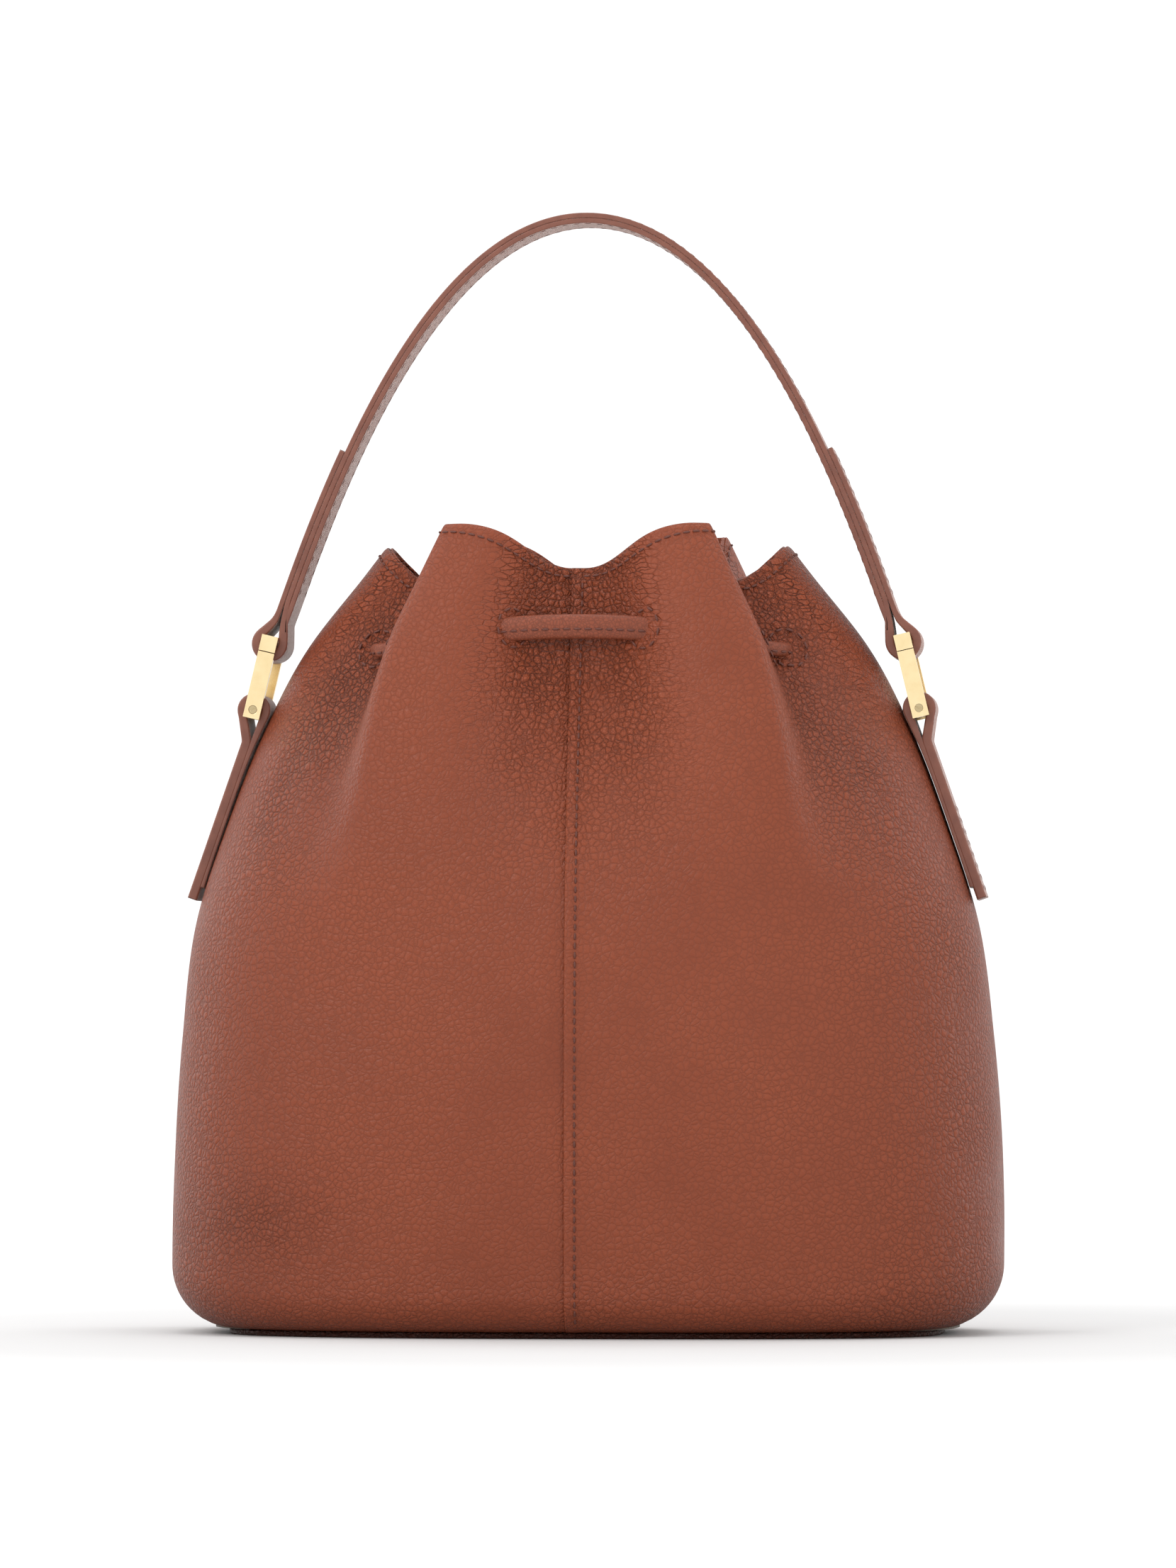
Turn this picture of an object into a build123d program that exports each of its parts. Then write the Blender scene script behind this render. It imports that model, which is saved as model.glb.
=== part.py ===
from build123d import *
import os
from math import atan2, cos, degrees, hypot, pi, radians, sin, sqrt, tan

# Leather bucket bag with a gathered mouth, a drawcord, and a short handle held by two screw-bar clips.
# Millimetres. The origin is the centre of the footprint on the table, +X to the wearer's side seam,
# +Y to the side where the cord ends hang, +Z up. Left is -X and right is +X.

# ---- Driving dimensions: body ----
FLOOR_GAP = 2.0            # the walls stand on the base panel, which is this thick
CORNER_R = 12.0            # rounding where the wall turns under the base
LEATHER = 1.4              # outer leather
LINING = 0.7               # lining cloth
FACING = 1.2               # leather band inside the mouth
FACING_LOW = 203.0         # lower edge of that band
PLY_GAP = 0.1              # between one layer of the wall and the next
BOARD = 2.0                # stiffener in the base
BOARD_INSET = 14.5         # the board is this much smaller than the body all round
GATHER_LOW = 122.0         # the folds of the gathered mouth start here
GATHER_HIGH = 268.0        # and are fully deep here
FOLD_DEPTH = 12.5          # fold height above and below the mean wall
SIDE_FOLD = 0.55           # the side folds are this much shallower
VALLEY = (46.0, 40.0)      # angle of the valleys beside the side folds, low and high, in degrees
CREST = 62.0               # angle of the front and back folds

# The body's outline: height, half width with its folds, half depth without them, squareness
OUTLINE = [
    (2.0, 139.5, 75.0, 2.7),
    (45.0, 139.5, 76.0, 2.65),
    (98.0, 136.5, 75.5, 2.5),
    (140.0, 131.0, 72.5, 2.4),
    (170.0, 121.5, 69.5, 2.3),
    (200.0, 110.0, 64.5, 2.25),
    (230.0, 94.5, 58.5, 2.15),
    (255.0, 75.0, 52.5, 2.1),
    (272.0, 62.0, 48.5, 2.1),
]

# The wall is drawn as flat facets between these angles of a quarter, in degrees, and these heights.
QUARTER_ANGLES = [0, 10, 20, 30, 40, 47, 54, 62, 69, 76, 83, 90]
ROW_HEIGHTS = [2.0, 4.7, 8.0, 14.0, 45.0, 98.0, 130.0, 155.0, 180.0, 203.0, 228.0, 245.0]

# ---- Driving dimensions: rim ----
CREST_RIM = 269.5
SIDE_RIM = 264.0
MIDDLE_VALLEY_RIM = 255.0
SIDE_VALLEY_RIM = 251.0

# ---- Driving dimensions: drawcord ----
CORD_R = 2.5
MIDDLE_EYELET = (26.0, 235.0)      # half distance apart, and height, at the middle valleys
SIDE_EYELET_ANGLES = (34.0, 48.0)  # on both sides of a side valley
SIDE_EYELET_Z = 228.0
EYELET_R = 3.9
CORD_PLAY = 0.35
EXIT_RUN = 5.0             # the threaded cord ends this far past its last eyelet
TAIL_TURN = (12.6, 57.9, 231.2)    # where each cord end starts to turn down

# ---- Driving dimensions: handle, clips and tabs ----
STRAP_HALF = 10.5          # half width of the handle and tabs
STRAP = 3.5                # two plies
FOLD_BACK = 1.8            # skived end of the handle, folded back and sewn on its outer side
FOLD_BACK_TOP = 296.0
TOP_BAR = (106.7, 231.4)   # x, z of the clip's upper bar
SCREW_BAR = (112.0, 209.1)  # x, z of the clip's lower bar
BAR_R = 2.3
ARCH_FOOT = (101.0, 241.5)
ARCH_LEAN = 20.0           # degrees from upright at the foot of the arch
ARCH_PULL = (30.0, 56.0)   # stiffness of the arch at its foot and at its top
ARCH_TOP = 374.25
HANDLE_LOOP = (2.9, 6.2)   # inner and outer radius of the handle's loops
TAB_LOOP = (2.6, 5.7)      # and of the tabs' loops
TAB_FACE = ((134.4, 146.0), (115.6, 200.0))  # the tab's outer face, bottom and top
TAB_NECK = 4.3             # thickness of the tab above its seam
TAB_GAP = 0.3              # between the flat tab and the wall's crest
NECK_R = 10.5              # the neck is round about the tilt axis
SEAM_R = 14.2              # and the sewn part keeps clear of the clip's feet
PATCH = (12.5, 150.0, 190.0)  # half width, low and high of the patch inside
PATCH_THICK = 1.0
LEG_GAP = 0.4
LEG = 2.5                  # thickness of the clip's two flat legs
LEG_WIDE = 5.6
LEG_OVER = 2.6             # legs reach past the upper bar
LEG_UNDER = 3.0            # and past the screw bar
NOSE = 5.4                 # length of the fixed nose at the top of the front leg
NOSE_GAP = 0.25
SCREW_R = 1.35
SCREW_PLAY = 0.05

# ---- Driving dimensions: cord ends and slider ----
SLIDER = (22.0, 7.6, 13.0)
SLIDER_Z = 198.0
SLIDER_PLAY = 0.1
END_R = 3.6
END_LONG = 22.0


def between(z, column):
    """The outline's value at a height, on a smooth curve through its rows."""
    rows = OUTLINE
    if z <= rows[0][0]:
        return rows[0][column]
    for i in range(len(rows) - 1):
        low, high = rows[i], rows[i + 1]
        if z <= high[0]:
            span = high[0] - low[0]
            before = rows[i - 1] if i else low
            after = rows[i + 2] if i + 2 < len(rows) else high
            slope_low = (high[column] - before[column]) / (high[0] - before[0])
            slope_high = (after[column] - low[column]) / (after[0] - low[0])
            u = (z - low[0]) / span
            keep = (2 * u - 3) * u * u
            return (
                low[column] * (1 + keep)
                - high[column] * keep
                + span * slope_low * (u - 1) ** 2 * u
                + span * slope_high * (u - 1) * u * u
            )
    return rows[-1][column]


def gather(z):
    """0 where the wall is smooth, 1 where its folds are full."""
    u = min(1.0, max(0.0, (z - GATHER_LOW) / (GATHER_HIGH - GATHER_LOW)))
    return u * u * (3 - 2 * u)


def fold(angle, z):
    """Height of the folds at an angle: 1 on a crest, -1 in a valley, with shallower side folds."""
    quarter = abs(degrees(atan2(sin(angle), cos(angle))))
    quarter = min(quarter, 180.0 - quarter)
    valley = VALLEY[0] + (VALLEY[1] - VALLEY[0]) * gather(z)
    if quarter < valley:
        wave = cos(pi * quarter / valley)
    elif quarter < CREST:
        wave = -cos(pi * (quarter - valley) / (CREST - valley))
    else:
        wave = cos(pi * (quarter - CREST) / (90.0 - CREST))
    return wave * (SIDE_FOLD + (1 - SIDE_FOLD) * sin(angle) ** 2)


def wall_point(angle, z, inset):
    """A point of the wall: inset is measured inwards from the outer face, and the floor edge is round."""
    depth = FOLD_DEPTH * gather(z)
    wide = between(z, 1) - SIDE_FOLD * depth
    deep = between(z, 2)
    power = between(z, 3)
    below = max(0.0, CORNER_R - (z - FLOOR_GAP))
    turned = CORNER_R - sqrt(CORNER_R**2 - below**2)
    c, s = cos(angle), sin(angle)
    x = wide * abs(c) ** (2 / power) * (1 if c >= 0 else -1)
    y = deep * abs(s) ** (2 / power) * (1 if s >= 0 else -1)
    nx = abs(x / wide) ** (power - 1) / wide * (1 if x >= 0 else -1)
    ny = abs(y / deep) ** (power - 1) / deep * (1 if y >= 0 else -1)
    size = hypot(nx, ny)
    out = depth * fold(angle, z) - inset - turned
    return Vector(x + nx / size * out, y + ny / size * out, z)


def swing(u):
    """A smooth way from 0 to 1."""
    return (1 - cos(pi * u)) / 2


def rim_height(angle):
    """Height of the rim at an angle: it rises over each fold and dips in each valley."""
    quarter = abs(degrees(atan2(sin(angle), cos(angle))))
    quarter = min(quarter, 180.0 - quarter)
    valley = VALLEY[1]
    if quarter < valley:
        return SIDE_RIM + (SIDE_VALLEY_RIM - SIDE_RIM) * swing(quarter / valley)
    if quarter < CREST:
        return SIDE_VALLEY_RIM + (CREST_RIM - SIDE_VALLEY_RIM) * swing((quarter - valley) / (CREST - valley))
    return CREST_RIM + (MIDDLE_VALLEY_RIM - CREST_RIM) * swing((quarter - CREST) / (90.0 - CREST))


def angles_between(low, high):
    """The facet angles, in radians, of the quarters from low to high, both in right angles."""
    found = []
    for quarter in range(low, high):
        turned = QUARTER_ANGLES if quarter % 2 == 0 else [90 - a for a in reversed(QUARTER_ANGLES)]
        found += [radians(90 * quarter + a) for a in turned[:-1]]
    return found + [radians(90 * high)]


def facets(a, b, c, d):
    """Two flat triangles that fill a four-cornered stretch of wall."""
    return [Face(Wire.make_polygon(corners, close=True)) for corners in ((a, b, c), (a, c, d))]


def wall_solid(angles, low, high, near, far, closed):
    """A layer of wall between two insets; high is a height, or None for the rim."""
    columns = []
    for angle in angles:
        top = rim_height(angle) if high is None else high
        heights = [low] + [z for z in ROW_HEIGHTS if low + 1 < z < min(top, 250.0) - 2] + [top]
        columns.append([[wall_point(angle, z, inset) for z in heights] for inset in (near, far)])
    count = len(columns)
    faces = []
    for i in range(count if closed else count - 1):
        here, there = columns[i], columns[(i + 1) % count]
        for layer in (0, 1):
            for j in range(len(here[0]) - 1):
                faces += facets(here[layer][j], there[layer][j], there[layer][j + 1], here[layer][j + 1])
        for j in (0, -1):
            faces += facets(here[0][j], there[0][j], there[1][j], here[1][j])
    if not closed:
        for end in (columns[0], columns[-1]):
            for j in range(len(end[0]) - 1):
                faces += facets(end[0][j], end[1][j], end[1][j + 1], end[0][j + 1])
    return Solid(Shell(faces))


def big_box(x0, x1, y0, y1, z0, z1):
    return Pos((x0 + x1) / 2, (y0 + y1) / 2, (z0 + z1) / 2) * Box(x1 - x0, y1 - y0, z1 - z0)


def cylinder_between(start, end, radius):
    """A round bar from one point to another."""
    start, end = Vector(*start), Vector(*end)
    plane = Plane(origin=start, z_dir=end - start)
    return Solid.make_cylinder(radius, (end - start).length, plane)


# ---- Eyelets ----
def middle_eyelet_angle():
    """The angle, in the first quarter, at which the wall is half the middle eyelets' distance out."""
    low, high = radians(CREST), pi / 2
    for _ in range(40):
        angle = (low + high) / 2
        if wall_point(angle, MIDDLE_EYELET[1], LEATHER).X > MIDDLE_EYELET[0]:
            low = angle
        else:
            high = angle
    return angle


def eyelets():
    """Angle and height of the twelve eyelets, in the order in which the cord meets them."""
    near, far = (radians(a) for a in SIDE_EYELET_ANGLES)
    middle = middle_eyelet_angle()
    quarter = [(middle, MIDDLE_EYELET[1]), (far, SIDE_EYELET_Z), (near, SIDE_EYELET_Z)]
    right = quarter + [(-a, z) for a, z in reversed(quarter)]
    left = [(pi - a, z) for a, z in reversed(right)]
    return right + left


def eyelet_points():
    return [wall_point(angle, z, LEATHER) for angle, z in eyelets()]


def fillet_radii(points):
    """The largest radius that the two runs at each corner allow."""
    radii = []
    for a, b, c in zip(points, points[1:], points[2:]):
        before, after = b - a, c - b
        half_turn = radians(before.get_angle(after)) / 2
        radii.append(0.45 * min(before.length, after.length) / tan(half_turn))
    return radii


def cord_tube(points, radius, name):
    """A round cord along straight runs joined by tangent arcs."""
    points = [Vector(*p) for p in points]
    radii = fillet_radii(points)
    path = FilletPolyline(*points, radius=radii)
    tube = sweep(Plane(origin=path @ 0, z_dir=path % 0) * Circle(radius), path=path)
    print(name, "length", round(path.length, 1), "radii", [round(r) for r in radii],
          "volume ratio", round(tube.volume / (pi * radius**2 * path.length), 4))
    return tube


# ---- Body ----
ring = eyelet_points()
exits = []
for last, side in ((ring[0], 1), (ring[-1], -1)):
    toward = (Vector(side * TAIL_TURN[0], TAIL_TURN[1], TAIL_TURN[2]) - last).normalized()
    exits.append(last + toward * EXIT_RUN)
threaded_points = [exits[0]] + ring + [exits[1]]
threaded_cord = cord_tube(threaded_points, CORD_R, "drawcord")
cord_room = cord_tube(threaded_points, CORD_R + CORD_PLAY, "cord room")


def with_eyelets(shell):
    """The wall with its holes, each square to the wall, and room for the cord on its way through."""
    for angle, z in eyelets():
        inside, outside = wall_point(angle, z, 9), wall_point(angle, z, -6)
        shell = shell - cylinder_between(inside, outside, EYELET_R)
    return shell - cord_room


def body_panel(first_quarter):
    """Half of the wall; the two halves meet at the middle seams."""
    angles = angles_between(first_quarter, first_quarter + 2)
    return with_eyelets(wall_solid(angles, FLOOR_GAP, None, 0, LEATHER, False))


def base_plate(inset, floor_inset, low, thickness):
    """A plate with the body's outline, taken at its widest or where it meets the base."""
    z = FLOOR_GAP if floor_inset else 45.0
    ring_points = [wall_point(angle, z, inset) for angle in angles_between(0, 4)[:-1]]
    outline = Wire.make_polygon([Vector(p.X, p.Y, low) for p in ring_points], close=True)
    return extrude(Face(outline), thickness, dir=(0, 0, 1))


def lining_pieces():
    """The lining's side wall, and its floor on the board."""
    near = LEATHER + PLY_GAP
    low = FLOOR_GAP + BOARD + LINING
    wall = wall_solid(angles_between(0, 4)[:-1], low, FACING_LOW, near, near + LINING, True)
    return wall, base_plate(BOARD_INSET, False, FLOOR_GAP + BOARD, LINING)


def mouth_facing():
    near = LEATHER + PLY_GAP
    wall = wall_solid(angles_between(0, 4)[:-1], FACING_LOW, None, near, near + FACING, True)
    return with_eyelets(wall)


# ---- Tabs ----
def tilt_disc(radius):
    """A disc about the axis on which the handle tips forwards and back."""
    z = SCREW_BAR[1]
    return cylinder_between((60, 0, z), (160, 0, z), radius)


def tab_profile():
    """The right tab from its sewn end to the loop round the screw bar, seen from the front."""
    (x0, z0), (x1, z1) = TAB_FACE
    loop_in, loop_out = TAB_LOOP
    heights = [z0 + (z1 - z0) * i / 4 for i in range(5)]
    against = [(wall_point(0, z, -TAB_GAP).X, z) for z in reversed(heights)]
    sewn = Polyline((x0, z0), (x1, z1), *against, close=True)
    slope = (x1 - x0) / (z1 - z0)
    neck_x = x1 + slope * 1.5
    neck = Line((neck_x, z1 + 1.5), (neck_x - TAB_NECK, z1 + 1.5))
    lower = Line((x1, z1 - 6), (x1 - TAB_NECK, z1 - 6))
    loop = Pos(*SCREW_BAR) * Circle(loop_out)
    around = make_hull(loop.edges() + neck.edges())
    below = make_hull(neck.edges() + lower.edges())
    hole = make_hull((Pos(*SCREW_BAR) * Circle(loop_in)).edges()
                     + Line((neck_x - 2.3, z1 + 3.6), (neck_x - 2.5, z1 + 3.6)).edges())
    return make_face(sewn), around + below - hole


def upright(sketch, half, middle_y=0.0):
    """A profile drawn in x and z, made into a strap of the given half width."""
    plane = Plane(origin=(0, middle_y + half, 0), x_dir=(1, 0, 0), z_dir=(0, -1, 0))
    return extrude(plane * sketch, 2 * half, dir=(0, -1, 0))


def tab_pieces():
    """The sewn tab and its loop: one strap that twists between them, so they are two solids here."""
    sewn, loop = tab_profile()
    z = SCREW_BAR[1]
    sewn_solid = upright(sewn, STRAP_HALF)
    loop_solid = upright(loop, STRAP_HALF)
    below = big_box(60, 160, -40, 40, 100, z)
    neck = loop_solid - (below - tilt_disc(NECK_R))
    return (sewn_solid - tilt_disc(SEAM_R)).solids().sort_by(Axis.Z)[0], neck


def tab_patch():
    """A leather patch on the lining, behind the tab's seam."""
    half, low, high = PATCH
    face = []
    for z in (low, (low + high) / 2, high):
        middle = wall_point(0, z, LEATHER + 5 * PLY_GAP + LINING)
        beside = wall_point(radians(QUARTER_ANGLES[1]), z, LEATHER + 5 * PLY_GAP + LINING)
        share = half / beside.Y
        face.append((middle.X + (beside.X - middle.X) * share, z))
    back = [(x - PATCH_THICK, z) for x, z in reversed(face)]
    return upright(make_face(Polyline(*face, *back, close=True)), half)


# ---- Clips ----
def leg_shape(start, end):
    """The clip's flat leg, in x and z, between two distances above the screw bar along the clip."""
    (x0, z0), (x1, z1) = SCREW_BAR, TOP_BAR
    lean = degrees(atan2(x1 - x0, z1 - z0))
    flat = Pos(0, (start + end) / 2) * Rectangle(LEG_WIDE, end - start)
    return Pos(x0, z0) * Rot(0, 0, -lean) * flat


def clip_pieces():
    """The right clip: its frame, its hinged front leg, and the screw that they turn on."""
    long = hypot(TOP_BAR[0] - SCREW_BAR[0], TOP_BAR[1] - SCREW_BAR[1])
    inner_y = STRAP_HALF + LEG_GAP
    outer_y = inner_y + LEG
    top = long + LEG_OVER
    (sx, sz), (tx, tz) = SCREW_BAR, TOP_BAR
    rear = upright(leg_shape(-LEG_UNDER, top), LEG / 2, inner_y + LEG / 2)
    nose = upright(leg_shape(top - NOSE, top), LEG / 2, -inner_y - LEG / 2)
    bar = cylinder_between((tx, -inner_y, tz), (tx, inner_y, tz), BAR_R)
    tube = cylinder_between((sx, -inner_y + 0.15, sz), (sx, inner_y, sz), BAR_R)
    screw_room = cylinder_between((sx, -outer_y, sz), (sx, outer_y - 0.8, sz), SCREW_R)
    frame = rear + nose + bar + tube - screw_room
    screw = cylinder_between((sx, -outer_y, sz), (sx, outer_y - 0.8, sz), SCREW_R)
    slot = Pos(sx, -outer_y, sz) * Rot(0, 20, 0) * Box(2 * SCREW_R, 0.8, 0.4)
    gate = upright(leg_shape(-LEG_UNDER, top - NOSE - NOSE_GAP), LEG / 2, -inner_y - LEG / 2)
    gate = gate - cylinder_between((sx, -outer_y - 1, sz), (sx, -inner_y + 1, sz), SCREW_R + SCREW_PLAY)
    return frame, gate, screw - slot


# ---- Handle ----
def arch_point(u, out):
    """A point beside the right half of the arch: u is 0 at its foot and 1 at its top."""
    lean = radians(ARCH_LEAN)
    p0 = Vector(*ARCH_FOOT)
    p1 = p0 + Vector(-sin(lean), cos(lean)) * ARCH_PULL[0]
    p3 = Vector(0, ARCH_TOP)
    p2 = p3 + Vector(ARCH_PULL[1], 0)
    v = 1 - u
    place = p0 * v**3 + p1 * (3 * v * v * u) + p2 * (3 * v * u * u) + p3 * u**3
    along = (p1 - p0) * (v * v) + (p2 - p1) * (2 * v * u) + (p3 - p2) * (u * u)
    along = along.normalized()
    return Vector(place.X + along.Y * out, place.Y - along.X * out)


def arch_band(low, high, last=1.0):
    """The strip between two distances from the arch's middle line: the whole arch, or its foot only."""
    steps = 12
    sides = []
    for out in (low, high):
        half = [arch_point(last * i / steps, out) for i in range(steps + 1)]
        if last == 1.0:
            half += [Vector(-p.X, p.Y) for p in reversed(half[:-1])]
        sides.append(half)
    edges = [Spline(*sides[0]), Spline(*sides[1]),
             Line(sides[0][0], sides[1][0]), Line(sides[0][-1], sides[1][-1])]
    return make_face(edges)


def fold_back_end():
    """How far up the arch the folded-back end reaches."""
    low, high = 0.0, 1.0
    for _ in range(40):
        u = (low + high) / 2
        if arch_point(u, STRAP / 2).Y < FOLD_BACK_TOP:
            low = u
        else:
            high = u
    return u


def handle_pieces():
    """The handle's outer ply with its loops and folded-back ends, and its inner ply."""
    half = STRAP / 2
    loop_in, loop_out = HANDLE_LOOP
    arch = arch_band(-half, half)
    foot_in, foot_out = arch_point(0.02, -half + 0.2), arch_point(0.02, half + FOLD_BACK - 0.2)
    back = arch_band(0.3, half + FOLD_BACK, fold_back_end())
    edge = Line(foot_in, foot_out)
    outer_ring = make_hull((Pos(*TOP_BAR) * Circle(loop_out)).edges() + edge.edges())
    meet = arch_point(0, half)
    tip = Line((meet.X - 0.1, meet.Y - 1.6), (meet.X + 0.1, meet.Y - 1.6))
    hole = make_hull((Pos(*TOP_BAR) * Circle(loop_in)).edges() + tip.edges())
    loop = outer_ring - hole
    profile = arch + back + mirror(back, Plane.YZ) + loop + mirror(loop, Plane.YZ)
    ply = arch_band(-half, 0)
    return upright(profile - ply, STRAP_HALF), upright(ply, STRAP_HALF)


# ---- Cord ends and slider ----
def tail_points(side):
    """The route of one cord end, from its eyelet through the slider and down the wall."""
    start = exits[0] if side > 0 else exits[1]
    if side > 0:
        rest = [TAIL_TURN, (7.2, 60.3, 222.0), (4.6, 63.4, 210.5), (4.6, 74.6, 163.0),
                (4.9, 79.4, 137.0), (6.0, 80.2, 114.0)]
    else:
        rest = [(-TAIL_TURN[0], TAIL_TURN[1], TAIL_TURN[2]), (-7.2, 60.3, 222.0), (-4.6, 63.4, 210.5),
                (-4.6, 74.6, 163.0), (-5.6, 79.6, 134.0), (-7.6, 80.5, 107.0)]
    return [Vector(start.X, start.Y, start.Z)] + [Vector(*p) for p in rest]


def cord_end(points):
    """The wrapped tip that is pressed on a cord's end."""
    along = (points[-1] - points[-2]).normalized()
    start = points[-1]
    body = Solid.make_cylinder(END_R, END_LONG, Plane(origin=start, z_dir=along))
    return fillet(body.edges(), 1.0)


def slider():
    """A leather-covered keeper with a hole for each cord end."""
    right, left = tail_points(1), tail_points(-1)
    along = (right[4] - right[3]).normalized()
    across = Vector(1, 0, 0)
    share = (right[3].Z - SLIDER_Z) / (right[3].Z - right[4].Z)
    middle_y = right[3].Y + (right[4].Y - right[3].Y) * share
    straight = Vector(0, right[4].Y - right[3].Y, right[4].Z - right[3].Z).normalized()
    plane = Plane(origin=(0, middle_y, SLIDER_Z), x_dir=across, z_dir=straight)
    block = plane * Box(*SLIDER)
    block = fillet(block.edges(), 1.6)
    for points in (right, left):
        hole = cylinder_between(points[3] - (points[4] - points[3]) * 0.2, points[4], CORD_R + SLIDER_PLAY)
        block = block - hole
    return block


def save(node, shape):
    """Write one node's solids."""
    solids = shape.solids()
    export_step(Compound(children=[Solid(s.wrapped) for s in solids]) if len(solids) > 1 else solids[0],
                f"parts/{node}.step")


def both_sides(node, shape):
    save(f"{node}_right", shape)
    save(f"{node}_left", mirror(shape, Plane.YZ))


os.makedirs("parts", exist_ok=True)

save("body_panel_right", body_panel(-1))
save("body_panel_left", body_panel(1))
save("base_panel", base_plate(0, True, 0, FLOOR_GAP))
save("base_board", base_plate(BOARD_INSET, False, FLOOR_GAP, BOARD))
lining_wall, lining_floor = lining_pieces()
save("lining_wall", lining_wall)
save("lining_floor", lining_floor)
save("mouth_facing", mouth_facing())

save("drawcord", threaded_cord)
save("drawcord_tail_right", cord_tube(tail_points(1), CORD_R, "tail right"))
save("drawcord_tail_left", cord_tube(tail_points(-1), CORD_R, "tail left"))
save("cord_end_right", cord_end(tail_points(1)))
save("cord_end_left", cord_end(tail_points(-1)))
save("cord_slider", slider())

tab, tab_loop = tab_pieces()
both_sides("tab", tab)
both_sides("tab_loop", tab_loop)
both_sides("tab_patch", tab_patch())

clip_frame, clip_gate, clip_screw = clip_pieces()
both_sides("clip_frame", clip_frame)
both_sides("clip_gate", clip_gate)
both_sides("clip_screw", clip_screw)

handle_strap, handle_lining = handle_pieces()
save("handle_strap", handle_strap)
save("handle_lining", handle_lining)
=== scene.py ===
from math import cos, pi, radians, sin

import bmesh
import bpy
import numpy as np
from mathutils import Matrix, Vector
from mathutils.kdtree import KDTree

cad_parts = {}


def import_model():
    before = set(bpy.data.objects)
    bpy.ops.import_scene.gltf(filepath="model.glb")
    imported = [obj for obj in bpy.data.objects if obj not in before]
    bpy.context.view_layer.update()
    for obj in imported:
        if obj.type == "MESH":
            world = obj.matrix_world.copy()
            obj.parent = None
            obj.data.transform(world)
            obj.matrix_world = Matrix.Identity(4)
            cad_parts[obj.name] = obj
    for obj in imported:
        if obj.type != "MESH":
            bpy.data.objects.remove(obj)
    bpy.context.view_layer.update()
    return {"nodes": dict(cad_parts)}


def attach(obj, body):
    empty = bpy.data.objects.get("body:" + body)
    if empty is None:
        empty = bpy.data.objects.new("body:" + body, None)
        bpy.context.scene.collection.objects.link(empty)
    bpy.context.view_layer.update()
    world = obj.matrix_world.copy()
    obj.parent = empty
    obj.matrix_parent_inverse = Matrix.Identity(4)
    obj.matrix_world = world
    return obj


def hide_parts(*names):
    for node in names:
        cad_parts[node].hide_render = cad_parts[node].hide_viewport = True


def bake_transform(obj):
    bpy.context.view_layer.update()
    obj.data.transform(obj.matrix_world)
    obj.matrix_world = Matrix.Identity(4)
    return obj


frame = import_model()

MM = 0.001
NODES = frame["nodes"]

# ---- The bag's shape, in millimetres, as the CAD has it ----
LEATHER = 1.4
FACING = 1.2
PLY_GAP = 0.1
FLOOR_GAP = 2.0
FACING_LOW = 203.0
CORNER_R = 12.0
SIDE_CORNER = 9.0          # how much larger the lower corner's radius is at the sides
GATHER_LOW, GATHER_HIGH = 122.0, 268.0
FOLD_DEPTH = 12.5
SIDE_FOLD = 0.55
VALLEY = (46.0, 40.0)
CREST = (62.0, 57.0)
LEAN, LEAN_SPREAD = 6.5, 8.5    # degrees that the gathered crests lean towards the sides
# Rows of the wall: height, half width, half depth and the power of its rounded outline
OUTLINE = np.array([
    (2.0, 139.5, 75.0, 2.7),
    (45.0, 139.5, 76.0, 2.65),
    (98.0, 136.5, 75.5, 2.5),
    (140.0, 131.0, 72.5, 2.4),
    (170.0, 121.5, 69.5, 2.3),
    (200.0, 110.0, 64.5, 2.25),
    (230.0, 94.5, 58.5, 2.15),
    (255.0, 75.0, 52.5, 2.1),
    (272.0, 62.0, 48.5, 2.1),
])
CREST_RIM, SIDE_RIM = 269.5, 264.0
MIDDLE_VALLEY_RIM, SIDE_VALLEY_RIM = 255.0, 251.0
SEAM_X = -2.0              # folded edge of the right panel
SEAM_RISE = 1.1            # how far that edge stands over the left panel

TOP_BAR = np.array((106.7, 231.4))
SCREW_BAR = np.array((112.0, 209.1))
STRAP_HALF = 10.5
STRAP = 3.5
FOLD_BACK = 1.8
FOLD_BACK_TOP = 296.0
ARCH_FOOT = np.array((101.0, 241.5))
ARCH_LEAN = radians(20.0)
ARCH_PULL = (30.0, 56.0)
ARCH_TOP = 374.25
LOOP_MID, LOOP_THICK = 4.55, 3.2
TAB_LOOP_MID, TAB_LOOP_THICK = 4.15, 3.0
TAB_FACE = (np.array((134.4, 146.0)), np.array((115.6, 200.0)))
TAB_PLY = 3.3

# The threaded cord's corners: angle, in degrees, and height, of the eyelets in one quarter
MIDDLE_EYELET = (26.0, 235.0)
SIDE_EYELET_ANGLES = (34.0, 48.0)
SIDE_EYELET_Z = 228.0
TAIL_TURN = (12.6, 57.9, 231.2)
EXIT_RUN = 5.0
RIGHT_TAIL = [TAIL_TURN, (7.2, 60.3, 222.0), (4.8, 63.4, 210.5), (4.4, 74.6, 163.0),
              (4.9, 79.4, 137.0), (6.0, 80.2, 114.0)]
LEFT_TAIL = [(-TAIL_TURN[0], TAIL_TURN[1], TAIL_TURN[2]), (-7.2, 60.3, 222.0), (-4.8, 63.4, 210.5),
             (-4.4, 74.6, 163.0), (-5.6, 79.6, 134.0), (-7.6, 80.5, 107.0)]
TAIL_WIDE, TAIL_THICK = 4.8, 4.5
CORD_WIDE, CORD_THICK = 8.2, 4.4
FLAT_SHARE, FLAT_FADE = 0.15, 0.08    # the cord is flat in its middle and turns round beyond it
THREAD_RADIUS = 0.42


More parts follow.
